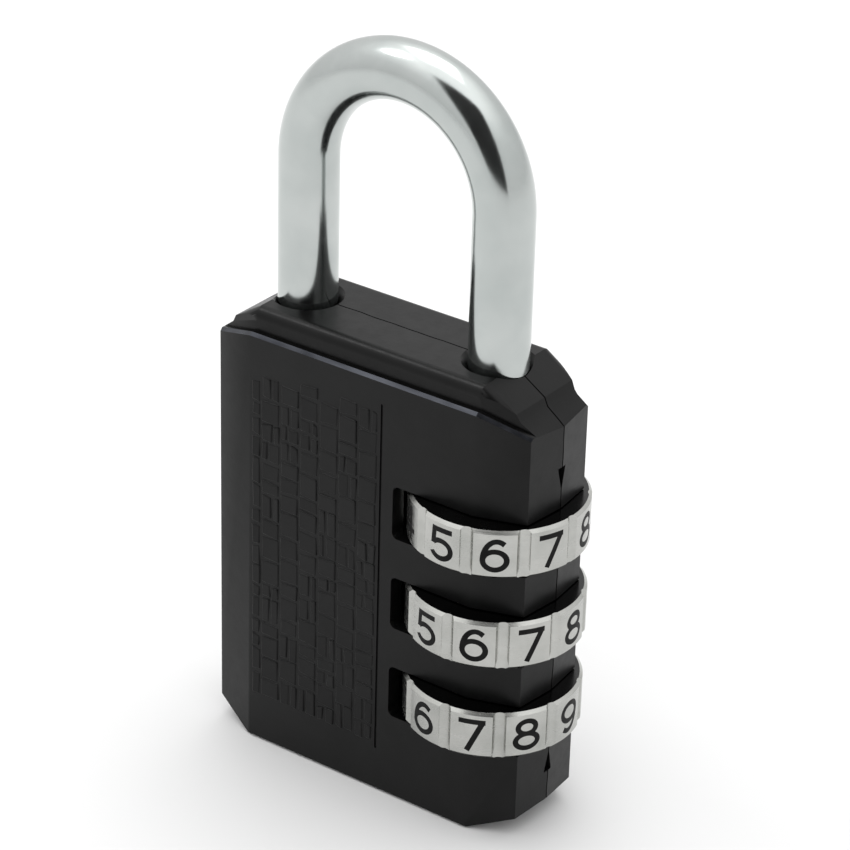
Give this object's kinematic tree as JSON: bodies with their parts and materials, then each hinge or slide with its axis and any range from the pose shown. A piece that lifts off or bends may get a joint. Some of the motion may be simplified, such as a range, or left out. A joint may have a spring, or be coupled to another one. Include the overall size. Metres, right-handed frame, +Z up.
{
  "type": "combination padlock",
  "caption": "Compact combination padlock: two-part black case, plated U-shackle that lifts, and number dials that turn at one side.",
  "frame": {"origin": "centre of the case's base face, on the plane where the case halves meet", "axes": "+Z up through the case to the shackle, -Y out of the front face, +X towards the side where the dials stand out"},
  "size_m": [0.0323, 0.0142, 0.0628],
  "materials": {
    "case_black": "semi-gloss black coat on die-cast zinc",
    "shackle_chrome": "plated and polished",
    "dial_satin": "satin plated",
    "numeral_paint": "black paint fill",
    "sleeve_brass": "machined",
    "rivet_steel": "blackened",
    "pin_steel": "ground",
    "spring_steel": "drawn"
  },
  "bodies": {
    "case": {"front_case": "case_black", "back_case": "case_black", "case_rivets": "rivet_steel", "spring_pin": "pin_steel", "lift_spring": "spring_steel", "sleeve_washers": "pin_steel", "click_spring_top": "spring_steel", "click_spring_middle": "spring_steel", "click_spring_bottom": "spring_steel"},
    "shackle": {"shackle": "shackle_chrome", "lug_pins": "pin_steel"},
    "dial_top": {"dial_top": "dial_satin", "numerals_top": "numeral_paint", "code_sleeve_top": "sleeve_brass"},
    "dial_middle": {"dial_middle": "dial_satin", "numerals_middle": "numeral_paint", "code_sleeve_middle": "sleeve_brass"},
    "dial_bottom": {"dial_bottom": "dial_satin", "numerals_bottom": "numeral_paint", "code_sleeve_bottom": "sleeve_brass"}
  },
  "joints": [
    {"name": "shackle_lift", "type": "slide", "parent": "case", "child": "shackle", "axis": [0, 0, 1], "range_m": [0, 0.007], "deforming": ["lift_spring"]},
    {"name": "dial_top_spin", "type": "hinge", "parent": "case", "child": "dial_top", "pos_m": [0.00975, 0, 0.02636], "axis": [0, 0, 1], "continuous": true, "deforming": ["click_spring_top"]},
    {"name": "dial_middle_spin", "type": "hinge", "parent": "case", "child": "dial_middle", "pos_m": [0.00975, 0, 0.01828], "axis": [0, 0, 1], "continuous": true, "deforming": ["click_spring_middle"]},
    {"name": "dial_bottom_spin", "type": "hinge", "parent": "case", "child": "dial_bottom", "pos_m": [0.00975, 0, 0.0101], "axis": [0, 0, 1], "continuous": true, "deforming": ["click_spring_bottom"]}
  ]
}
